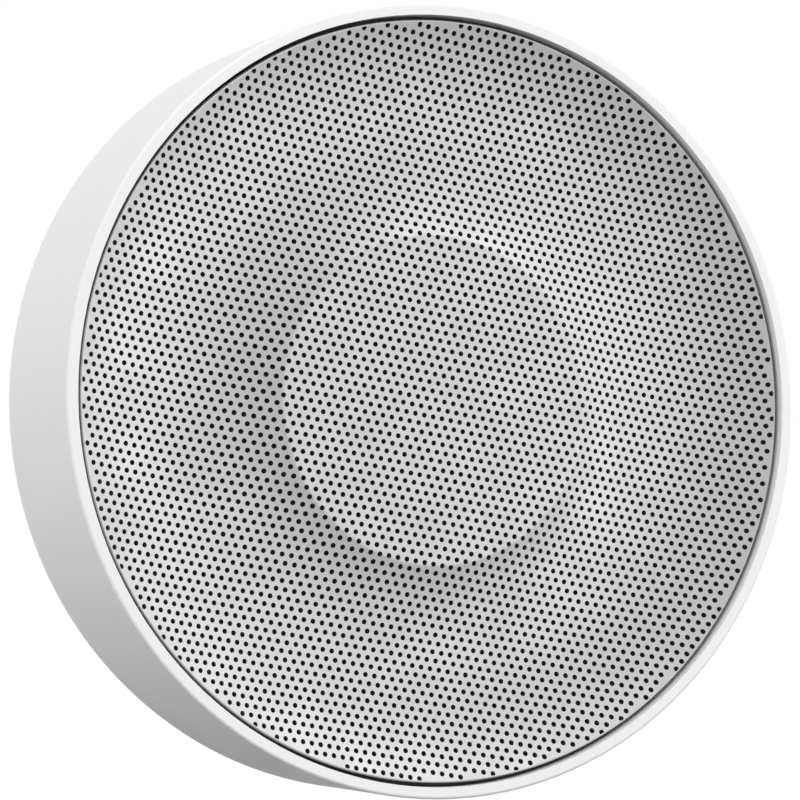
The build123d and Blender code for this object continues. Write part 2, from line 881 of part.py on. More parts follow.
def make_key(name, x):
    limits = (seal_ledge_low - key_centre, housing_front)
    cap = cross_capsule(x, key_centre, key_length, key_width, key_stem_foot, key_face_radius + overcut)
    cap = cap & ring(key_flange_inner, key_face_radius, *limits)
    face = [side for side in cap.faces() if abs(side.center().Y) > key_flange_outer][0]
    cap = fillet(face.edges(), key_edge_round) - key_marks(name, x)
    flange_sides = (key_length + 2 * key_flange_margin, key_width + 2 * key_flange_margin)
    flange = cross_capsule(x, key_centre, *flange_sides, key_stem_foot, key_face_radius)
    flange = flange & ring(key_flange_inner, key_flange_outer, *limits)
    stem = block(
        (x - key_stem_half, x + key_stem_half),
        (key_stem_foot, key_flange_outer),
        (key_centre - key_stem_half, key_centre + key_stem_half),
    )
    stem = stem & rod((0, 0), key_flange_outer, *limits)
    return to_keys(cap + flange + stem)


def make_key_switch(x):
    half = (key_switch_size[0] / 2, key_switch_size[2] / 2)
    top = key_board_y[1] + key_switch_size[1]
    depth = (key_centre - half[1], key_centre + half[1])
    body = block((x - half[0], x + half[0]), (key_board_y[1], top), depth)
    return to_keys(body - cross_rod(x, key_centre, plunger_hole, plunger_hole_floor, top + overcut))


def make_key_ribbon():
    corner = ribbon_z + ribbon_thickness
    run = block((ribbon_x, key_board_y[0]), ribbon_y, (ribbon_z, corner))
    return run + block((ribbon_x, ribbon_x + ribbon_thickness), ribbon_y, (board_high, corner))


pieces["key_board"] = to_keys(block((-key_board_half, key_board_half), key_board_y, key_board_z))
pieces["key_switches"] = group(make_key_switch(x) for x in key_places.values())
pieces["key_ribbon"] = make_key_ribbon()
for name, x in key_places.items():
    pieces[name + "_key"] = make_key(name, x)
    pieces[name + "_plunger"] = to_keys(cross_rod(x, key_centre, plunger_radius, plunger_foot, key_stem_foot))


# Reset button, and its switch under the main board
def make_reset_button():
    stem = rod(reset_place, reset_radius, reset_low, reset_foot)
    return stem + rod(reset_place, reset_flange_radius, *reset_flange)


def make_reset_switch():
    half = reset_switch_half
    body = standing(reset_place, (2 * half, 2 * half, board_low - reset_switch_low), reset_switch_low)
    return body - rod(reset_place, reset_plunger_hole, reset_switch_low - overcut, reset_switch_hole_top)


pieces["reset_button"] = make_reset_button()
pieces["reset_plunger"] = rod(reset_place, reset_plunger_radius, reset_foot, reset_plunger_top)
pieces["reset_switch"] = make_reset_switch()


# Stand the pieces up on the wall and write them
os.makedirs("parts", exist_ok=True)
stand_up = Rot(90, 0, 0)
for name, shape in pieces.items():
    solids = [stand_up * solid for solid in shape.solids()]
    export_step(solids[0] if len(solids) == 1 else Compound(solids), f"parts/{name}.step")
print(len(pieces), "pieces written")
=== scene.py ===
import json
import math

import bmesh
import bpy
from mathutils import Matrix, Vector


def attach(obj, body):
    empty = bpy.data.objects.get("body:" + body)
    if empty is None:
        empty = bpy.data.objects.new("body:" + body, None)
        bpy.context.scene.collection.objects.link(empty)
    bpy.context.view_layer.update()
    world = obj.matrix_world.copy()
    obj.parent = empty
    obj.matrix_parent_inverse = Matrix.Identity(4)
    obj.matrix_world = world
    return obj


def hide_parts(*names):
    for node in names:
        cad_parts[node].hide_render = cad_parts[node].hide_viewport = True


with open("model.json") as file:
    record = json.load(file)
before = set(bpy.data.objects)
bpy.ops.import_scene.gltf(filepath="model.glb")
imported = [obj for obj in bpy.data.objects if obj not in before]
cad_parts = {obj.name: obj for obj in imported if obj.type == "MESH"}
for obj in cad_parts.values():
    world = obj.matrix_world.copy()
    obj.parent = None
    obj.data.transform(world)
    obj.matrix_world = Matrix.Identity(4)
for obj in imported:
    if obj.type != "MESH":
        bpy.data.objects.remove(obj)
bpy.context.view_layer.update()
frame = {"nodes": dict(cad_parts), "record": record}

record = frame["record"]
bodyOf = {n: body for body, names in record["behaviour"]["bodies"].items() for n in names}
slotOf = {part["node"]: part["material_slot"] for part in record["subparts"]}
mm = 0.001
scene = bpy.context.scene
print("frame loaded:", len(frame["nodes"]), "CAD nodes")


def feed(tree, node, values):
    for key, value in values.items():
        if isinstance(value, bpy.types.NodeSocket):
            tree.links.new(value, node.inputs[key])
        else:
            node.inputs[key].default_value = value


def add(tree, kind, values=None, **props):
    node = tree.nodes.new(kind)
    for key, value in props.items():
        setattr(node, key, value)
    feed(tree, node, values or {})
    return node


def calc(tree, operation, *terms):
    return add(tree, "ShaderNodeMath", dict(enumerate(terms)), operation=operation).outputs[0]


def squared(tree, value):
    return calc(tree, "POWER", value, 2.0)


def split(tree, vector):
    return add(tree, "ShaderNodeSeparateXYZ", {0: vector}).outputs


def combine(tree, parts):
    return add(tree, "ShaderNodeCombineXYZ", parts).outputs[0]


def noise(tree, place, scale, detail):
    return add(tree, "ShaderNodeTexNoise", {"Vector": place, "Scale": scale, "Detail": detail}).outputs[0]


def between(tree, share, low, high, start=0.0, end=1.0):
    return add(tree, "ShaderNodeMapRange", {0: share, 1: start, 2: end, 3: low, 4: high}).outputs[0]


def shaded(colour, amount):
    return tuple(min(1.0, c * amount) for c in colour) + (1.0,)


# every finish: two tones on a noise, a roughness that wanders, and a fine grain or a pattern as bump
finishes = {
    "shell_white": dict(colour=(0.815, 0.817, 0.825), tone=0.015, toneScale=45, rough=(0.36, 0.43),
                        grain=2600, bump=0.05, gloss=0.25),
    "cover_white": dict(colour=(0.745, 0.75, 0.76), tone=0.02, toneScale=60, rough=(0.52, 0.62),
                        grain=1500, bump=0.22),
    "key_white": dict(colour=(0.80, 0.802, 0.81), tone=0.015, toneScale=90, rough=(0.33, 0.40),
                      grain=2600, bump=0.05),
    "grille_metal": dict(colour=(0.41, 0.412, 0.416), tone=0.05, toneScale=220, rough=(0.40, 0.50),
                         grain=3800, bump=0.06, metal=1.0),
    "dust_cloth": dict(colour=(0.022, 0.022, 0.024), tone=0.2, toneScale=300, rough=(0.85, 0.95),
                       pattern="weave", bump=0.6),
    "trim_black": dict(colour=(0.022, 0.022, 0.024), tone=0.12, toneScale=300, rough=(0.62, 0.75),
                       grain=2400, bump=0.15),
    "pad_grey": dict(colour=(0.15, 0.155, 0.16), tone=0.10, toneScale=350, rough=(0.7, 0.82),
                     grain=1800, bump=0.3),
    "inner_plastic": dict(colour=(0.035, 0.035, 0.038), tone=0.25, toneScale=700, rough=(0.45, 0.6),
                          grain=1500, bump=0.2),
    "screw_steel": dict(colour=(0.56, 0.57, 0.59), tone=0.12, toneScale=500, rough=(0.26, 0.42),
                        grain=3000, bump=0.08, metal=1.0),
    "motor_steel": dict(colour=(0.47, 0.475, 0.49), tone=0.08, toneScale=160, rough=(0.3, 0.45),
                        pattern="rings", bump=0.12, metal=1.0),
    "ferrite": dict(colour=(0.06, 0.06, 0.064), tone=0.3, toneScale=900, rough=(0.5, 0.7),
                    grain=2200, bump=0.3),
    "paper_cone": dict(colour=(0.045, 0.045, 0.048), tone=0.3, toneScale=600, rough=(0.8, 0.92),
                       grain=1400, bump=0.5),
    "spider_cloth": dict(colour=(0.52, 0.36, 0.16), tone=0.15, toneScale=200, rough=(0.75, 0.88),
                         pattern="weave", bump=0.5),
    "coil_copper": dict(colour=(0.62, 0.31, 0.15), tone=0.1, toneScale=300, rough=(0.22, 0.34),
                        pattern="turns", bump=0.5, metal=1.0),
    "former_film": dict(colour=(0.42, 0.22, 0.08), tone=0.1, toneScale=200, rough=(0.18, 0.28),
                        grain=900, bump=0.03),
    "board_green": dict(colour=(0.028, 0.155, 0.075), tone=0.3, rough=(0.22, 0.36),
                        pattern="tracks", bump=0.2),
    "chip_black": dict(colour=(0.028, 0.028, 0.03), tone=0.15, toneScale=900, rough=(0.42, 0.55),
                       grain=2600, bump=0.2),
    "can_metal": dict(colour=(0.66, 0.66, 0.645), tone=0.08, toneScale=150, rough=(0.24, 0.4),
                      grain=1200, bump=0.04, metal=1.0),
    "battery_wrap": dict(colour=(0.09, 0.15, 0.30), tone=0.1, toneScale=120, rough=(0.18, 0.3),
                         grain=500, bump=0.06),
    "lead_black": dict(colour=(0.028, 0.028, 0.029), tone=0.12, toneScale=400, rough=(0.4, 0.55),
                       grain=1500, bump=0.08),
    "ribbon_amber": dict(colour=(0.50, 0.27, 0.07), tone=0.35, rough=(0.2, 0.32),
                         pattern="tracks", bump=0.15),
    "contact_brass": dict(colour=(0.70, 0.58, 0.32), tone=0.1, toneScale=300, rough=(0.25, 0.4),
                          grain=1800, bump=0.05, metal=1.0),
}
patternSizes = {
    "weave": dict(thread=0.22 * mm),
    "rings": dict(groove=0.35 * mm),
    "turns": dict(wire=0.16 * mm),
    "tracks": dict(step=1.1 * mm, share=0.3, soft=0.15, long=7),
}
# what all finishes share
surface = dict(toneDetail=3.0, grainDetail=2.0, smearScale=130.0, smearDetail=4.0, smearFrom=0.3, smearTo=0.7,
               bumpDepth=0.05 * mm, gloss=0.5)


def stripes(tree, along, width):
    # a soft wave along one coordinate, from 0 to 1
    turns = calc(tree, "MULTIPLY", along, 2 * math.pi / width)
    return calc(tree, "MULTIPLY_ADD", calc(tree, "SINE", turns), 0.5, 0.5)


def patternHeight(tree, place, kind):
    parts = split(tree, place)
    across, deep, up = parts["X"], parts["Y"], parts["Z"]
    sizes = patternSizes[kind]
    if kind == "weave":
        over = stripes(tree, across, sizes["thread"])
        under = stripes(tree, up, sizes["thread"])
        return calc(tree, "ABSOLUTE", calc(tree, "SUBTRACT", over, under))
    if kind == "rings":
        radius = calc(tree, "SQRT", calc(tree, "ADD", squared(tree, across), squared(tree, up)))
        return stripes(tree, radius, sizes["groove"])
    if kind == "turns":
        return stripes(tree, deep, sizes["wire"])
    lines = add(tree, "ShaderNodeTexBrick", {
        "Vector": combine(tree, {0: across, 1: up}), "Scale": 1.0,
        "Mortar Size": sizes["step"] * sizes["share"], "Mortar Smooth": sizes["soft"],
        "Brick Width": sizes["step"] * sizes["long"], "Row Height": sizes["step"]})
    return calc(tree, "SUBTRACT", 1.0, lines.outputs["Fac"])


def makeFinish(name):
    kit = finishes[name]
    material = bpy.data.materials.new(name)
    material.use_nodes = True
    tree = material.node_tree
    place = add(tree, "ShaderNodeTexCoord").outputs["Object"]
    if "pattern" in kit:
        height = patternHeight(tree, place, kit["pattern"])
    else:
        height = noise(tree, place, kit["grain"], surface["grainDetail"])
    drift = noise(tree, place, kit["toneScale"], surface["toneDetail"]) if "toneScale" in kit else height
    dark, light = shaded(kit["colour"], 1 - kit["tone"]), shaded(kit["colour"], 1 + kit["tone"])
    blend = add(tree, "ShaderNodeMix", {0: drift, 6: dark, 7: light}, data_type="RGBA")
    smear = noise(tree, place, surface["smearScale"], surface["smearDetail"])
    rough = between(tree, smear, *kit["rough"], start=surface["smearFrom"], end=surface["smearTo"])
    bump = add(tree, "ShaderNodeBump",
               {"Strength": kit["bump"], "Distance": surface["bumpDepth"], "Height": height})
    feed(tree, tree.nodes["Principled BSDF"], {
        "Base Color": blend.outputs[2], "Metallic": kit.get("metal", 0.0), "Roughness": rough,
        "Specular IOR Level": kit.get("gloss", surface["gloss"]), "Normal": bump.outputs[0]})
    return material


materials = {name: makeFinish(name) for name in finishes}
for name, node in frame["nodes"].items():
    for slot in node.material_slots:
        slot.material = materials[slotOf[name]]
print("finishes made:", len(materials))


def settle(piece, finish, sharpFrom, *replaced):
    # common end of every piece: smooth faces, finish, body, replaced nodes
    mesh = piece.data
    mesh.polygons.foreach_set("use_smooth", [True] * len(mesh.polygons))
    mesh.set_sharp_from_angle(angle=math.radians(sharpFrom))
    mesh.materials.clear()
    mesh.materials.append(materials[finish])
    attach(piece, bodyOf[replaced[0]])
    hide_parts(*replaced)
    return piece


def placed(name, mesh):
    piece = bpy.data.objects.new(name, mesh)
    scene.collection.objects.link(piece)
    return piece


def meshOf(book, name):
    mesh = bpy.data.meshes.new(name)
    book.to_mesh(mesh)
    book.free()
    return mesh


def turnedMesh(name, outline, segments):
    # revolves a closed (radius, height from the wall) outline about the axis through the wall plate
    book = bmesh.new()
    rings = []
    for step in range(segments):
        angle = 2 * math.pi * step / segments
        rings.append([book.verts.new((r * math.cos(angle), -z, r * math.sin(angle))) for r, z in outline])
    count = len(outline)
    for step in range(segments):
        here, there = rings[step], rings[(step + 1) % segments]
        for k in range(count):
            n = (k + 1) % count
            book.faces.new((here[k], here[n], there[n], there[k]))
    bmesh.ops.recalc_face_normals(book, faces=book.faces)
    return meshOf(book, name)


def arcPoints(centre, radius, start, end, steps):
    angles = [math.radians(start + (end - start) * k / steps) for k in range(steps + 1)]
    return [(centre[0] + radius * math.cos(a), centre[1] + radius * math.sin(a)) for a in angles]


def bakeModifiers(piece):
    graph = bpy.context.evaluated_depsgraph_get()
    mesh = bpy.data.meshes.new_from_object(piece.evaluated_get(graph), depsgraph=graph)
    piece.modifiers.clear()
    piece.data = mesh
    mesh.name = piece.name


def thicken(piece, thickness):
    wall = piece.modifiers.new("gauge", "SOLIDIFY")
    wall.thickness = thickness
    wall.offset = -1


# the grille: one perforated sheet in zones, and its plain rolled rim
grille = dict(
    pitch=1.24 * mm, holeRadius=0.335 * mm, rowTurn=math.radians(-9.5),
    land=-0.2 * mm,  # below zero, so the rim cuts the outermost holes
    holeSides=12, sewWithin=0.004 * mm, leastFace=2e-10, nearCentre=1e-6,
    sheet=0.6 * mm, sharpFrom=35,
    plateauRadius=20.8 * mm, troughRadius=32.3 * mm, troughTop=26.2 * mm, dishArc=37.0 * mm,
    outerRadius=48.0 * mm, roll=0.2 * mm, rollSteps=10,
    skirt=0.25 * mm, skirtLow=26.2 * mm, rimSegments=360,
    zones={"grille_plateau": (0, 20.8 * mm), "grille_slope": (20.8 * mm, 32.2 * mm),
           "grille_trough": (32.2 * mm, 40.5 * mm), "grille_rise": (40.5 * mm, 50 * mm)},
)
# the rim's roll meets the dish at one slope: that circle is the edge of the perforated sheet
rollAt = grille["outerRadius"] - grille["roll"]
rimLean = math.asin((rollAt - grille["troughRadius"]) / (grille["dishArc"] + grille["roll"]))
grille["edgeRadius"] = rollAt - grille["roll"] * math.sin(rimLean)

# the node tree's inputs, and the grille's sizes that they take
sheetInputs = {
    "Pitch": "pitch", "Hole Radius": "holeRadius", "Row Turn": "rowTurn", "Land": "land",
    "Edge Radius": "edgeRadius", "Plateau Radius": "plateauRadius", "Trough Radius": "troughRadius",
    "Trough Top": "troughTop", "Dish Arc": "dishArc",
}


def halfCount(tree, reach, step):
    return calc(tree, "ADD", calc(tree, "CEIL", calc(tree, "DIVIDE", reach, step)), 1.0)


def staggeredPoints(tree, given, away):
    # rows of points, turned as the sheet is cut, within the zone and the edge
    index = add(tree, "GeometryNodeInputIndex").outputs[0]
    rowStep = calc(tree, "MULTIPLY", given["Pitch"], math.sqrt(3) / 2)
    halfRows = halfCount(tree, given["Edge Radius"], rowStep)
    halfCols = halfCount(tree, given["Edge Radius"], given["Pitch"])
    rows = calc(tree, "MULTIPLY_ADD", halfRows, 2.0, 1.0)
    cols = calc(tree, "MULTIPLY_ADD", halfCols, 2.0, 1.0)
    rowIndex = calc(tree, "FLOOR", calc(tree, "DIVIDE", calc(tree, "ADD", index, 0.5), cols))
    colIndex = calc(tree, "SUBTRACT", index, calc(tree, "MULTIPLY", rowIndex, cols))
    row = calc(tree, "SUBTRACT", rowIndex, halfRows)
    stagger = calc(tree, "MULTIPLY", calc(tree, "FLOORED_MODULO", row, 2.0), 0.5)
    col = calc(tree, "ADD", calc(tree, "SUBTRACT", colIndex, halfCols), stagger)
    flat = combine(tree, {0: calc(tree, "MULTIPLY", col, given["Pitch"]),
                          1: calc(tree, "MULTIPLY", row, rowStep)})
    turned = add(tree, "ShaderNodeVectorRotate", {"Vector": flat, "Angle": given["Row Turn"]},
                 rotation_type="Z_AXIS").outputs[0]
    count = calc(tree, "MULTIPLY", rows, cols)
    points = add(tree, "GeometryNodePoints", {"Count": count, "Position": turned}).outputs[0]
    reach = calc(tree, "ADD", given["Edge Radius"], given["Pitch"])
    tooNear = calc(tree, "LESS_THAN", away, given["Zone From"])
    tooFar = calc(tree, "GREATER_THAN", away, calc(tree, "MINIMUM", given["Zone To"], reach))
    outside = calc(tree, "ADD", tooNear, tooFar)
    return add(tree, "GeometryNodeDeleteGeometry", {0: points, 1: outside}, domain="POINT").outputs[0]


def hexagon(tree, given, place, source, chosen=None):
    # moves the chosen points of a round tile out to a hexagon one pitch wide
    across = split(tree, place)
    angle = calc(tree, "ARCTAN2", across["Y"], across["X"])
    sixth = calc(tree, "MULTIPLY", calc(tree, "ROUND", calc(tree, "DIVIDE", angle, math.pi / 3)), math.pi / 3)
    halfWide = calc(tree, "MULTIPLY", given["Pitch"], 0.5)
    reach = calc(tree, "DIVIDE", halfWide, calc(tree, "COSINE", calc(tree, "SUBTRACT", angle, sixth)))
    corner = combine(tree, {0: calc(tree, "MULTIPLY", reach, calc(tree, "COSINE", angle)),
                            1: calc(tree, "MULTIPLY", reach, calc(tree, "SINE", angle))})
    values = {"Geometry": source, "Position": corner}
    if chosen is not None:
        values["Selection"] = chosen
    return add(tree, "GeometryNodeSetPosition", values).outputs[0]


def tiledSheet(tree, given, place, away, points):
    # a hexagon with a hole on each point, and a plain one where a hole would leave the sheet
    size = {"Vertices": grille["holeSides"], "Radius": given["Hole Radius"]}
    hole = add(tree, "GeometryNodeMeshCircle", size).outputs[0]
    grown = add(tree, "GeometryNodeExtrudeMesh", {"Mesh": hole, "Offset Scale": 0.0}, mode="EDGES")
    piercedTile = hexagon(tree, given, place, grown.outputs["Mesh"], grown.outputs["Top"])
    disc = add(tree, "GeometryNodeMeshCircle", size, fill_type="NGON").outputs[0]
    plainTile = hexagon(tree, given, place, disc)
    margin = calc(tree, "ADD", given["Hole Radius"], given["Land"])
    pierced = calc(tree, "LESS_THAN", calc(tree, "ADD", away, margin), given["Edge Radius"])
    facing = combine(tree, {2: given["Row Turn"]})
    tiles = add(tree, "GeometryNodeJoinGeometry")
    for tile, where in ((piercedTile, pierced), (plainTile, calc(tree, "SUBTRACT", 1.0, pierced))):
        laid = add(tree, "GeometryNodeInstanceOnPoints",
                   {"Points": points, "Selection": where, "Instance": tile, "Rotation": facing})
        tree.links.new(laid.outputs[0], tiles.inputs[0])
    real = add(tree, "GeometryNodeRealizeInstances", {0: tiles.outputs[0]}).outputs[0]
    sewn = add(tree, "GeometryNodeMergeByDistance", {"Geometry": real, "Distance": grille["sewWithin"]})
    return sewn.outputs[0]


def pressedDish(tree, given, place, away, sheet):
    # trims to the round edge, then presses the flat sheet into its dish
    share = calc(tree, "DIVIDE", given["Edge Radius"], calc(tree, "MAXIMUM", away, grille["nearCentre"]))
    pull = calc(tree, "MINIMUM", 1.0, share)
    inside = add(tree, "ShaderNodeVectorMath", {0: place, 3: pull}, operation="SCALE").outputs[0]
    trimmed = add(tree, "GeometryNodeSetPosition", {"Geometry": sheet, "Position": inside}).outputs[0]
    area = add(tree, "GeometryNodeInputMeshFaceArea").outputs[0]
    sliver = calc(tree, "LESS_THAN", area, grille["leastFace"])
    clean = add(tree, "GeometryNodeDeleteGeometry", {0: trimmed, 1: sliver}, domain="FACE").outputs[0]
    beyond = calc(tree, "MAXIMUM", away, given["Plateau Radius"])
    run = calc(tree, "ABSOLUTE", calc(tree, "SUBTRACT", beyond, given["Trough Radius"]))
    drop = calc(tree, "SUBTRACT", squared(tree, given["Dish Arc"]), squared(tree, run))
    centre = calc(tree, "ADD", given["Trough Top"], given["Dish Arc"])
    top = calc(tree, "SUBTRACT", centre, calc(tree, "SQRT", drop))
    parts = split(tree, place)
    pressed = combine(tree, {0: parts["X"], 1: calc(tree, "MULTIPLY", top, -1.0), 2: parts["Y"]})
    return add(tree, "GeometryNodeSetPosition", {"Geometry": clean, "Position": pressed}).outputs[0]


def perforatedSheet():
    tree = bpy.data.node_groups.new("perforatedSheet", "GeometryNodeTree")
    for label in (*sheetInputs, "Zone From", "Zone To"):
        tree.interface.new_socket(label, in_out="INPUT", socket_type="NodeSocketFloat")
    tree.interface.new_socket("Finish", in_out="INPUT", socket_type="NodeSocketMaterial")
    tree.interface.new_socket("Sheet", in_out="OUTPUT", socket_type="NodeSocketGeometry")
    given = tree.nodes.new("NodeGroupInput").outputs
    place = add(tree, "GeometryNodeInputPosition").outputs[0]
    away = add(tree, "ShaderNodeVectorMath", {0: place}, operation="LENGTH").outputs["Value"]
    points = staggeredPoints(tree, given, away)
    sheet = tiledSheet(tree, given, place, away, points)
    dish = pressedDish(tree, given, place, away, sheet)
    done = add(tree, "GeometryNodeSetMaterial", {"Geometry": dish, "Material": given["Finish"]}).outputs[0]
    add(tree, "NodeGroupOutput", {0: done})
    return tree


sheetTree = perforatedSheet()
socketOf = {item.name: item.identifier for item in sheetTree.interface.items_tree if item.in_out == "INPUT"}
for name, (zoneFrom, zoneTo) in grille["zones"].items():
    piece = placed(name, bpy.data.meshes.new(name))
    punch = piece.modifiers.new("punch", "NODES")
    punch.node_group = sheetTree
    for label, key in sheetInputs.items():
        punch[socketOf[label]] = grille[key]
    punch[socketOf["Zone From"]] = float(zoneFrom)
    punch[socketOf["Zone To"]] = float(zoneTo)
    punch[socketOf["Finish"]] = materials["grille_metal"]
    thicken(piece, grille["sheet"])
    bakeModifiers(piece)
    settle(piece, "grille_metal", grille["sharpFrom"], "grille")
    print("grille zone", name, len(piece.data.polygons), "faces")


def dishLevel(r, below=0.0):
    # height of the dished arc from the wall, at a depth under the sheet's face
    g = grille
    arc = g["dishArc"] + below
    return g["troughTop"] + g["dishArc"] - math.sqrt(arc ** 2 - (r - g["troughRadius"]) ** 2)


def grilleRim():
    g = grille
    rollHigh = dishLevel(g["edgeRadius"]) - g["roll"] * math.cos(rimLean)
    outline = arcPoints((rollAt, rollHigh), g["roll"], 90 + math.degrees(rimLean), 0, g["rollSteps"])
    inner = g["outerRadius"] - g["skirt"]
    outline += [(g["outerRadius"], g["skirtLow"]), (inner, g["skirtLow"])]
    outline += [(r, dishLevel(r, g["sheet"])) for r in (inner, g["edgeRadius"])]
    return turnedMesh("grille_rim", outline, g["rimSegments"])


settle(placed("grille_rim", grilleRim()), "grille_metal", grille["sharpFrom"], "grille")
print("grille rim turned")

# dark gasket between the grille and the lip, with a half-round top
gasket = dict(inner=48.03 * mm, outer=48.47 * mm, low=26.2 * mm, high=28.3 * mm, topSteps=8, segments=360,
              sharpFrom=40)


def gasketRing():
    g = gasket
    half = (g["outer"] - g["inner"]) / 2
    outline = [(g["inner"], g["low"]), (g["outer"], g["low"])]
    outline += arcPoints((g["inner"] + half, g["high"] - half), half, 0, 180, g["topSteps"])
    return turnedMesh("grille_gasket", outline, g["segments"])


settle(placed("grille_gasket", gasketRing()), "trim_black", gasket["sharpFrom"], "grille_trim")

# dust cloth stretched under the grille
cloth = dict(radius=47.68 * mm, gap=0.1 * mm, thick=0.3 * mm, cut=96.7 * mm, rings=48, segments=144,
             sharpFrom=40)


def clothMesh():
    c, g = cloth, grille
    book = bmesh.new()
    uv = book.loops.layers.uv.new("cut")
    below = g["sheet"] + c["gap"]
    flatTop = dishLevel(g["plateauRadius"]) - below

    def level(r):
        dished = dishLevel(r, below)
        return min(flatTop, dished) if r < g["troughRadius"] else dished

    middle = book.verts.new((0, -flatTop, 0))
    last = [middle] * c["segments"]
    for k in range(1, c["rings"] + 1):
        r = c["radius"] * k / c["rings"]
        here = []
        for s in range(c["segments"]):
            a = 2 * math.pi * s / c["segments"]
            here.append(book.verts.new((r * math.cos(a), -level(r), r * math.sin(a))))
        for s in range(c["segments"]):
            n = (s + 1) % c["segments"]
            corners = (last[s], here[s], here[n]) if k == 1 else (last[s], here[s], here[n], last[n])
            book.faces.new(corners)
        last = here
    bmesh.ops.recalc_face_normals(book, faces=book.faces)
    for face in book.faces:
        if face.normal.y > 0:
            face.normal_flip()
        for loop in face.loops:
            loop[uv].uv = (loop.vert.co.x / c["cut"] + 0.5, loop.vert.co.z / c["cut"] + 0.5)
    return meshOf(book, "dust_screen")


screen = placed("dust_screen", clothMesh())
thicken(screen, cloth["thick"])
bakeModifiers(screen)
settle(screen, "dust_cloth", cloth["sharpFrom"], "grille_cloth")
print("gasket and dust screen made")

# outer mouldings: the CAD shapes, sewn together and shaded smooth, with the angle where an edge is sharp
mouldings = {
    "housing": ("case_shell", 24), "rear_cover": ("back_cover", 24), "wall_plate": ("wall_disc", 24),
    "wall_pads": ("wall_feet", 30), "volume_up_key": ("louder_key", 24), "mute_key": ("silence_key", 24),
    "volume_down_key": ("quieter_key", 24), "reset_button": ("reset_pin", 24),
    "usb_socket": ("charge_socket", 24), "rear_cover_screws": ("back_screws", 24),
}
sewing = dict(within=0.001 * mm, sliver=0.0005 * mm)


def sewnCopy(node, name, sharpFrom):
    book = bmesh.new()
    book.from_mesh(frame["nodes"][node].data)
    bmesh.ops.remove_doubles(book, verts=book.verts, dist=sewing["within"])
    bmesh.ops.dissolve_degenerate(book, dist=sewing["sliver"], edges=book.edges)
    mesh = meshOf(book, name)
    stale = mesh.attributes.get("custom_normal")  # normals of the unsewn triangles
    if stale:
        mesh.attributes.remove(stale)
    return settle(placed(name, mesh), slotOf[node], sharpFrom, node)


for node, (name, sharpFrom) in mouldings.items():
    sewnCopy(node, name, sharpFrom)
print("mouldings sewn:", len(mouldings))

# the case's outer skin, so that its facets shade as true rounds
caseSkin = dict(
    radius=50.0 * mm, front=30.4 * mm, lipRound=0.4 * mm, rear=1.0 * mm, rearRound=7.6 * mm,
    draft=math.radians(1.4), near=0.03 * mm, turn=math.radians(40),
)


def skinNormal(point):
    s = caseSkin
    r, z = math.hypot(point.x, point.z), -point.y
    lipAt, lipHigh = s["radius"] - s["lipRound"], s["front"] - s["lipRound"]
    rearHigh = s["rear"] + s["rearRound"]
    rearAt = s["radius"] - (lipHigh - rearHigh) * math.tan(s["draft"]) - s["rearRound"] / math.cos(s["draft"])
    if z > lipHigh:
        out, up = max(0, r - lipAt), z - lipHigh
        miss = math.hypot(out, up) - s["lipRound"]
    elif z < rearHigh:
        out, up = max(0, r - rearAt), z - rearHigh
        miss = math.hypot(out, up) - s["rearRound"]
    else:
        out, up = math.cos(s["draft"]), -math.sin(s["draft"])
        miss = r - s["radius"] + (lipHigh - z) * math.tan(s["draft"])
    if abs(miss) > s["near"]:
        return None
    return Vector((point.x / r * out, -up, point.z / r * out)).normalized()


def smoothCase(piece):
    mesh = piece.data
    normals = [Vector(corner.vector) for corner in mesh.corner_normals]
    least = math.cos(caseSkin["turn"])
    for face in mesh.polygons:
        for k in face.loop_indices:
            true = skinNormal(mesh.vertices[mesh.loops[k].vertex_index].co)
            if true and true.dot(face.normal) > least:
                normals[k] = true
    mesh.normals_split_custom_set(normals)


smoothCase(bpy.data.objects["case_shell"])
print("case skin smoothed")

# camera where the photograph was taken: left of the front and a little below
shot = dict(
    front=(0, -30 * mm, 0), toward=(-0.4164, -0.9075, -0.0554), distance=521 * mm,
    lens=186.8, sensor=36, nearest=0.01, aside=5.30 * mm, lower=0.07 * mm,
)


def makeCamera():
    lens = bpy.data.cameras.new("photoCamera")
    lens.lens = shot["lens"]
    lens.sensor_width = shot["sensor"]
    lens.clip_start = shot["nearest"]
    camera = placed("photoCamera", lens)
    front, back = Vector(shot["front"]), Vector(shot["toward"]).normalized()
    right = Vector((0, 0, 1)).cross(back).normalized()
    up = back.cross(right)
    eye = front + back * shot["distance"]
    aim = front - right * shot["aside"] - up * shot["lower"]
    camera.location = eye
    camera.rotation_euler = (aim - eye).to_track_quat("-Z", "Y").to_euler()
    scene.camera = camera


makeCamera()

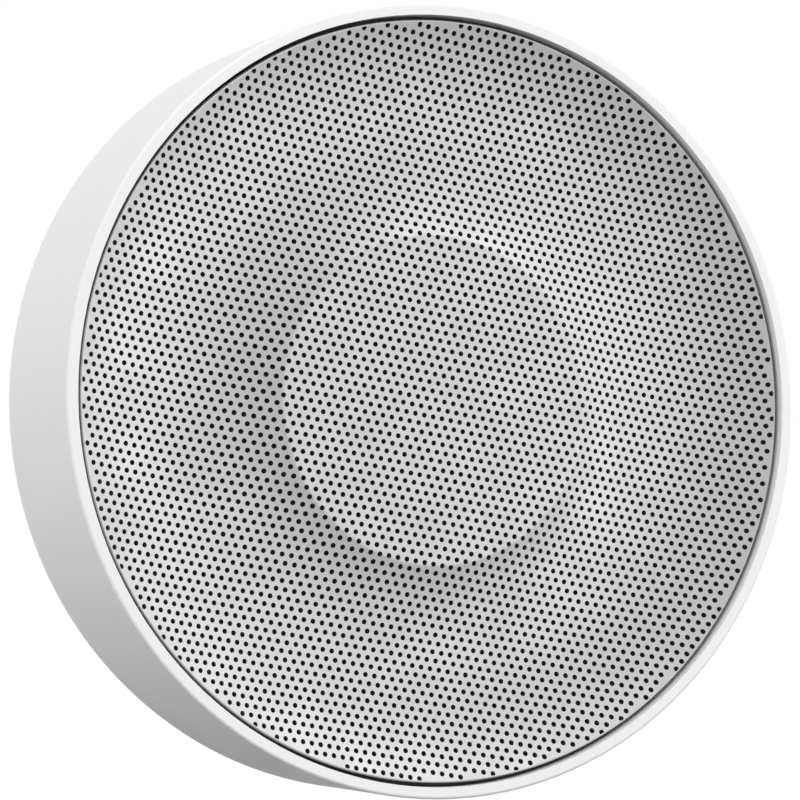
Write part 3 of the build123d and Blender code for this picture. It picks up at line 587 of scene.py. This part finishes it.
# soft studio: boxes right, left and in front, a white room, and a pale floor well below
# a lamp with mirrored=False lights matt surfaces and isn't mirrored in the metal
studio = dict(
    lamps={
        "rightWall": dict(azimuth=60, elevation=18, distance=1.4, wide=1.4, tall=1.5, glow=0.88),
        "rightHigh": dict(azimuth=45, elevation=42, distance=1.3, wide=0.8, tall=0.7, glow=1.12),
        "rightLow": dict(azimuth=30, elevation=-6, distance=1.3, wide=1.2, tall=0.55, glow=1.08),
        "frontHigh": dict(azimuth=10, elevation=45, distance=1.3, wide=0.7, tall=0.6, glow=1.32),
        "leftMid": dict(azimuth=-62, elevation=6, distance=1.3, wide=1.2, tall=1.1, glow=1.0),
        "leftFill": dict(azimuth=-62, elevation=-8, distance=1.3, wide=1.2, tall=1.1, glow=0.75,
                         mirrored=False),
        "frontFill": dict(azimuth=-15, elevation=-6, distance=1.3, wide=0.8, tall=0.8, glow=0.6,
                          mirrored=False),
        "rightUnder": dict(azimuth=95, elevation=-25, distance=0.9, wide=0.9, tall=0.35, glow=1.1,
                           mirrored=False),
    },
    aim=(0, -0.016, 0), roomSeen=1.0, roomLight=0.77,
    floorAt=-0.55, floorReach=2.4, floorSides=128, fadeFrom=1.2, fadeTo=2.2, floorSeen=0.70, floorBounce=0.02,
)
white = (1, 1, 1, 1)


def seenDirectly(tree):
    path = add(tree, "ShaderNodeLightPath").outputs
    mirrored = calc(tree, "MAXIMUM", path["Is Glossy Ray"], path["Is Transmission Ray"])
    return calc(tree, "MAXIMUM", path["Is Camera Ray"], mirrored)


def makeLamp(name, lamp):
    light = bpy.data.lights.new(name, "AREA")
    light.shape = "RECTANGLE"
    light.size, light.size_y = lamp["wide"], lamp["tall"]
    light.energy = math.pi * lamp["wide"] * lamp["tall"] * lamp["glow"]
    box = placed(name, light)
    box.visible_camera = False
    box.visible_glossy = lamp.get("mirrored", True)
    turn, rise = math.radians(lamp["azimuth"]), math.radians(lamp["elevation"])
    way = Vector((math.sin(turn) * math.cos(rise), -math.cos(turn) * math.cos(rise), math.sin(rise)))
    box.location = way * lamp["distance"]
    box.rotation_euler = (Vector(studio["aim"]) - box.location).to_track_quat("-Z", "Y").to_euler()


def makeRoom():
    world = bpy.data.worlds.new("whiteRoom")
    scene.world = world
    world.use_nodes = True
    tree = world.node_tree
    strength = between(tree, seenDirectly(tree), studio["roomLight"], studio["roomSeen"])
    feed(tree, tree.nodes["Background"], {"Color": white, "Strength": strength})


def floorPaint():
    # pale paint that fades out to the white room, clear from underneath
    paint = bpy.data.materials.new("palePaint")
    paint.use_nodes = True
    tree = paint.node_tree
    tree.nodes.remove(tree.nodes["Principled BSDF"])
    parts = split(tree, add(tree, "ShaderNodeTexCoord").outputs["Object"])
    away = calc(tree, "SQRT", calc(tree, "ADD", squared(tree, parts["X"]), squared(tree, parts["Y"])))
    fade = add(tree, "ShaderNodeMapRange", {0: away, 1: studio["fadeFrom"], 2: studio["fadeTo"]},
               interpolation_type="SMOOTHSTEP").outputs[0]
    seen = seenDirectly(tree)
    tone = between(tree, seen, studio["floorBounce"], studio["floorSeen"])
    matt = add(tree, "ShaderNodeBsdfDiffuse", {"Color": tone}).outputs[0]
    whiteOut = add(tree, "ShaderNodeEmission", {"Color": white, "Strength": studio["roomSeen"]}).outputs[0]
    faded = calc(tree, "MULTIPLY", fade, seen)
    above = add(tree, "ShaderNodeMixShader", {0: faded, 1: matt, 2: whiteOut}).outputs[0]
    below = add(tree, "ShaderNodeBsdfTransparent").outputs[0]
    underside = add(tree, "ShaderNodeNewGeometry").outputs["Backfacing"]
    mixed = add(tree, "ShaderNodeMixShader", {0: underside, 1: above, 2: below}).outputs[0]
    feed(tree, tree.nodes["Material Output"], {"Surface": mixed})
    return paint


def makeFloor():
    book = bmesh.new()
    bmesh.ops.create_circle(book, cap_ends=True, segments=studio["floorSides"], radius=studio["floorReach"])
    for vert in book.verts:
        vert.co.z = studio["floorAt"]
    floor = placed("studio_floor", meshOf(book, "studio_floor"))
    floor.data.materials.append(floorPaint())


for name, lamp in studio["lamps"].items():
    makeLamp(name, lamp)
makeRoom()
makeFloor()
scene.view_settings.view_transform = "Standard"
print("camera, studio and floor set")
